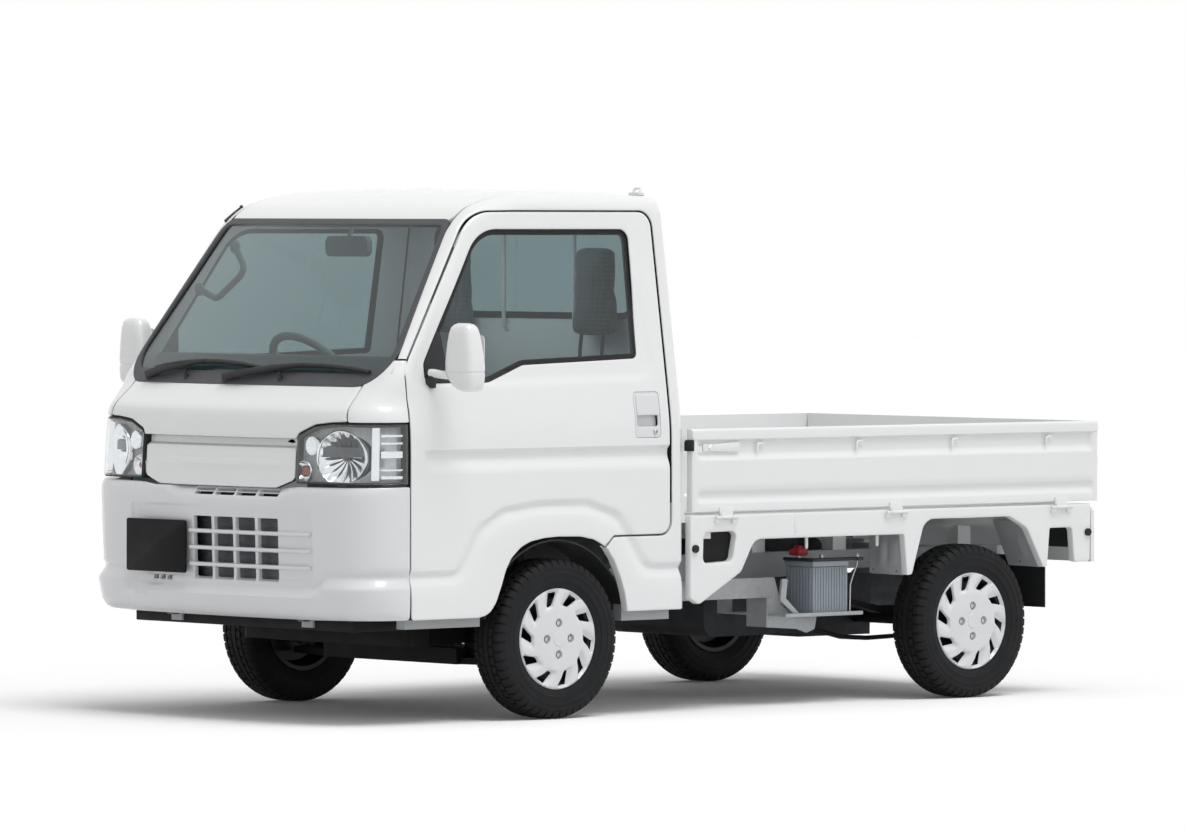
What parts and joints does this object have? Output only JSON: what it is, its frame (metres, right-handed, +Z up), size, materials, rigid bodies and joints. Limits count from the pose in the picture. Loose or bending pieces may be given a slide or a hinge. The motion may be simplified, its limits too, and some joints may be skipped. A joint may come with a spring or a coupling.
{
  "type": "kei truck",
  "caption": "Small two-seat forward-control pickup truck with a hollow cab, opening doors, steered front wheels and a flat bed with drop-down gates on three sides.",
  "frame": {"origin": "on the ground, at the middle of the overall length and width", "axes": "+X forward, +Y to the vehicle's left, +Z up"},
  "size_m": [3.395, 1.768, 1.7359],
  "materials": {
    "white_paint": "gloss coat over pressed steel",
    "grey_paint": "thin primer and paint on chassis steel",
    "dark_paint": "satin black chassis paint",
    "window_glass": "green tinted, polished",
    "lamp_cover": "clear moulded cover",
    "reflector": "bright vacuum coating",
    "black_plastic": "grained, unpainted",
    "dash_plastic": "grained, dark grey",
    "seat_cloth": "woven cloth over foam",
    "tyre_rubber": "matt black",
    "black_rubber": "matt black",
    "wheel_finish": "silver white moulded cover on a steel rim",
    "cast_metal": "rough cast, grey",
    "bare_steel": "plain steel",
    "alloy_core": "finned core",
    "red_lens": "moulded lens",
    "battery_case": "moulded case",
    "mirror_head": "painted moulding"
  },
  "bodies": {
    "chassis": {"battery": "battery_case", "bed_floor": "white_paint", "bed_headboard": "white_paint", "bed_sill_left": "white_paint", "bed_sill_right": "white_paint", "cab_floor": "white_paint", "cab_rear_wall": "white_paint", "cab_side_left": "white_paint", "cab_side_right": "white_paint", "cowl_panel": "black_plastic", "dashboard": "dash_plastic", "engine_block": "cast_metal", "front_bumper": "white_paint", "front_panel": "white_paint", "fuel_tank": "dark_paint", "garnish_panel": "white_paint", "gate_stops": "black_rubber", "headlamps": "reflector", "headrests": "seat_cloth", "interior_mirror": "black_plastic", "ladder_frame": "grey_paint", "lamp_covers": "lamp_cover", "leaf_springs": "dark_paint", "lower_arms": "dark_paint", "mud_flaps": "black_rubber", "muffler": "bare_steel", "radiator": "alloy_core", "rear_axle": "dark_paint", "rear_panel": "white_paint", "rear_window": "window_glass", "roof_panel": "white_paint", "seat_backs": "seat_cloth", "seat_cushions": "seat_cloth", "steering_rack": "bare_steel", "tail_lamps": "red_lens", "wheel_liners": "black_plastic", "windscreen": "window_glass", "wipers": "black_plastic"},
    "knuckle_left": {"knuckle_left": "bare_steel"},
    "knuckle_right": {"knuckle_right": "bare_steel"},
    "wheel_front_left": {"tyre_front_left": "tyre_rubber", "wheel_front_left": "wheel_finish"},
    "wheel_front_right": {"tyre_front_right": "tyre_rubber", "wheel_front_right": "wheel_finish"},
    "wheel_rear_left": {"tyre_rear_left": "tyre_rubber", "wheel_rear_left": "wheel_finish"},
    "wheel_rear_right": {"tyre_rear_right": "tyre_rubber", "wheel_rear_right": "wheel_finish"},
    "tie_rods": {"tie_rods": "bare_steel"},
    "steering_wheel": {"steering_wheel": "dash_plastic"},
    "door_left": {"door_left": "white_paint", "door_glass_left": "window_glass", "mirror_left": "mirror_head"},
    "door_right": {"door_right": "white_paint", "door_glass_right": "window_glass", "mirror_right": "mirror_head"},
    "gate_left": {"gate_left": "white_paint"},
    "gate_right": {"gate_right": "white_paint"},
    "tailgate": {"tailgate": "white_paint"}
  },
  "joints": [
    {"name": "steer_left", "type": "hinge", "parent": "chassis", "child": "knuckle_left", "pos_m": [0.8015, 0.582, 0.19], "axis": [0, -0.212, 0.9773], "range_deg": [-35, 35]},
    {"name": "steer_right", "type": "hinge", "parent": "chassis", "child": "knuckle_right", "pos_m": [0.8015, -0.582, 0.19], "axis": [0, 0.212, 0.9773], "range_deg": [-35, 35]},
    {"name": "tie_rod_slide", "type": "slide", "parent": "chassis", "child": "tie_rods", "axis": [0, 1, 0], "range_m": [-0.065, 0.065]},
    {"name": "steering_wheel_turn", "type": "hinge", "parent": "chassis", "child": "steering_wheel", "pos_m": [0.9844, -0.35, 1.085], "axis": [-0.7472, 0, 0.6646], "range_deg": [-425, 425]},
    {"name": "wheel_front_left_spin", "type": "hinge", "parent": "knuckle_left", "child": "wheel_front_left", "pos_m": [0.8015, 0.645, 0.263], "axis": [0, 1, 0], "continuous": true},
    {"name": "wheel_front_right_spin", "type": "hinge", "parent": "knuckle_right", "child": "wheel_front_right", "pos_m": [0.8015, -0.645, 0.263], "axis": [0, 1, 0], "continuous": true},
    {"name": "wheel_rear_left_spin", "type": "hinge", "parent": "chassis", "child": "wheel_rear_left", "pos_m": [-1.0985, 0.645, 0.263], "axis": [0, 1, 0], "continuous": true},
    {"name": "wheel_rear_right_spin", "type": "hinge", "parent": "chassis", "child": "wheel_rear_right", "pos_m": [-1.0985, -0.645, 0.263], "axis": [0, 1, 0], "continuous": true},
    {"name": "door_left_swing", "type": "hinge", "parent": "chassis", "child": "door_left", "pos_m": [1.4545, 0.7285, 0.6], "axis": [0, 0, -1], "range_deg": [0, 65]},
    {"name": "door_right_swing", "type": "hinge", "parent": "chassis", "child": "door_right", "pos_m": [1.4545, -0.7285, 0.6], "axis": [0, 0, 1], "range_deg": [0, 65]},
    {"name": "gate_left_drop", "type": "hinge", "parent": "chassis", "child": "gate_left", "pos_m": [-0.71, 0.741, 0.646], "axis": [-1, 0, 0], "range_deg": [0, 170]},
    {"name": "gate_right_drop", "type": "hinge", "parent": "chassis", "child": "gate_right", "pos_m": [-0.71, -0.741, 0.646], "axis": [1, 0, 0], "range_deg": [0, 170]},
    {"name": "tailgate_drop", "type": "hinge", "parent": "chassis", "child": "tailgate", "pos_m": [-1.692, 0, 0.646], "axis": [0, -1, 0], "range_deg": [0, 170]}
  ],
  "couplings": [
    {"joint": "steer_right", "follows": "steer_left", "ratio": 1},
    {"joint": "tie_rod_slide", "follows": "steer_left", "m_per_rad": -0.1033},
    {"joint": "steering_wheel_turn", "follows": "steer_left", "ratio": 12}
  ]
}
